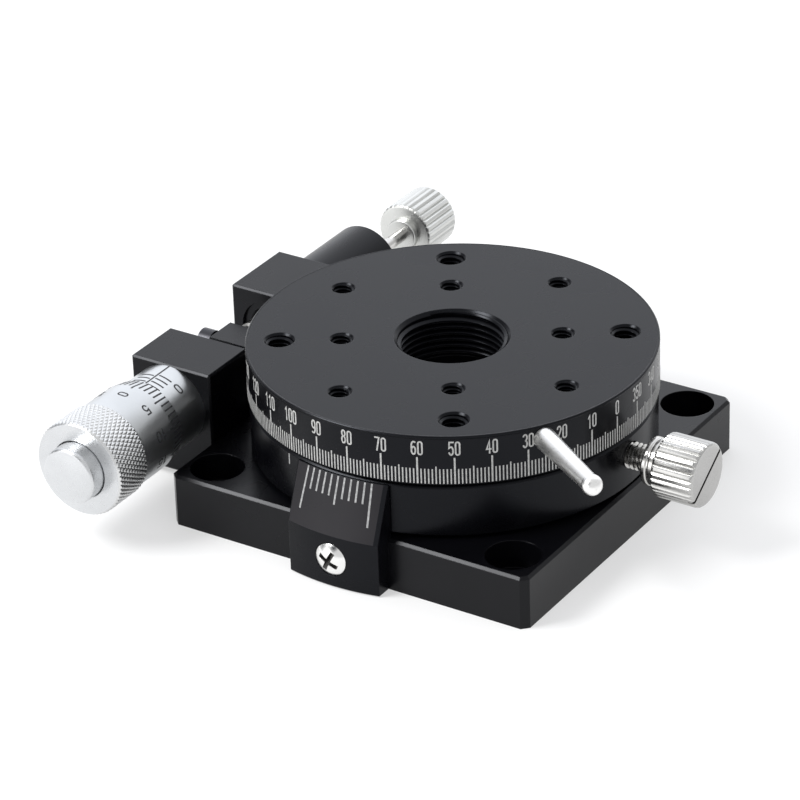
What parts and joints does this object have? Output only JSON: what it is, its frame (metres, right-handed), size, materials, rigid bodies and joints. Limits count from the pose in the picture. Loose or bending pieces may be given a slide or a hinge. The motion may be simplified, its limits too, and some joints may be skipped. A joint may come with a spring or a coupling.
{
  "type": "manual rotation stage",
  "caption": "Manual rotation stage: round table on a square base, with degree dial, vernier, clamp screw and micrometer fine feed.",
  "frame": {"origin": "where the turning axis meets the underside of the base plate", "axes": "+Z along the turning axis, up through the table; -Y towards the vernier; +X towards the ring clamp screw"},
  "size_m": [0.0867, 0.098, 0.0247],
  "materials": {
    "black_anodised": "matt black anodised",
    "satin_chrome": "satin chrome",
    "bright_steel": "polished and nickel plated",
    "bearing_steel": "ground",
    "dark_screw": "black oxide",
    "spring_steel": "drawn wire",
    "brass": "turned",
    "bronze": "oiled"
  },
  "bodies": {
    "base": {"base_plate": "black_anodised", "bearing_outer_ring_lower": "bearing_steel", "bearing_outer_ring_upper": "bearing_steel", "bearing_retainer": "black_anodised", "retainer_screws": "dark_screw", "thrust_washer": "bronze", "vernier_block": "black_anodised", "vernier_screw": "bright_steel", "micrometer_block": "black_anodised", "micrometer_block_screws": "dark_screw", "micrometer_sleeve": "satin_chrome", "micrometer_nut": "satin_chrome", "spring_block": "black_anodised", "spring_block_screws": "dark_screw", "spring_housing": "black_anodised", "return_spring": "spring_steel"},
    "rollers": {"bearing_rollers": "bearing_steel"},
    "fine_ring": {"fine_feed_ring": "black_anodised", "drive_arm": "black_anodised", "arm_screws": "dark_screw", "anvil_pin": "bearing_steel"},
    "table": {"table": "black_anodised", "bearing_inner_ring": "bearing_steel", "hub_clamp_ring": "black_anodised", "hub_clamp_screws": "dark_screw", "turning_lever": "bright_steel"},
    "clamp_pad": {"ring_clamp_pad": "brass"},
    "clamp_screw": {"ring_clamp_screw": "bright_steel"},
    "spindle_ball": {"spindle_ball": "bearing_steel"},
    "thimble": {"micrometer_spindle": "bearing_steel", "micrometer_thimble": "satin_chrome", "thimble_cap": "satin_chrome"},
    "plunger": {"spring_plunger": "bright_steel", "plunger_rod": "bright_steel", "pull_knob": "bright_steel"}
  },
  "joints": [
    {"name": "thimble_spin", "type": "hinge", "parent": "spindle_ball", "child": "thimble", "pos_m": [-0.03733, -0.0418, 0.01265], "axis": [0, 1, 0], "range_deg": [-2341, 2341]},
    {"name": "spindle_travel", "type": "slide", "parent": "base", "child": "spindle_ball", "axis": [0, 1, 0], "range_m": [-0.00325, 0.00325]},
    {"name": "fine_feed", "type": "hinge", "parent": "base", "child": "fine_ring", "pos_m": [0, 0, 0.0126], "axis": [0, 0, 1], "range_deg": [-5.06, 5.06]},
    {"name": "plunger_travel", "type": "slide", "parent": "base", "child": "plunger", "axis": [0, 1, 0], "range_m": [-0.0033, 0.0033], "deforming": ["return_spring"]},
    {"name": "table_turn", "type": "hinge", "parent": "fine_ring", "child": "table", "pos_m": [0, 0, 0.0126], "axis": [0, 0, 1], "continuous": true},
    {"name": "roller_travel", "type": "hinge", "parent": "base", "child": "rollers", "pos_m": [0, 0, 0.0044], "axis": [0, 0, 1], "continuous": true},
    {"name": "clamp_spin", "type": "hinge", "parent": "clamp_pad", "child": "clamp_screw", "pos_m": [0.035, 0, 0.0132], "axis": [1, 0, 0], "range_deg": [-181, 721]},
    {"name": "clamp_travel", "type": "slide", "parent": "fine_ring", "child": "clamp_pad", "axis": [1, 0, 0], "range_m": [-0.00035, 0.0014]}
  ],
  "couplings": [
    {"joint": "thimble_spin", "follows": "spindle_travel", "rad_per_m": 12566},
    {"joint": "plunger_travel", "follows": "spindle_travel", "ratio": 1},
    {"joint": "fine_feed", "follows": "spindle_travel", "rad_per_m": -26.788},
    {"joint": "roller_travel", "follows": "table_turn", "ratio": 0.5},
    {"joint": "clamp_spin", "follows": "clamp_travel", "rad_per_m": 8976}
  ]
}
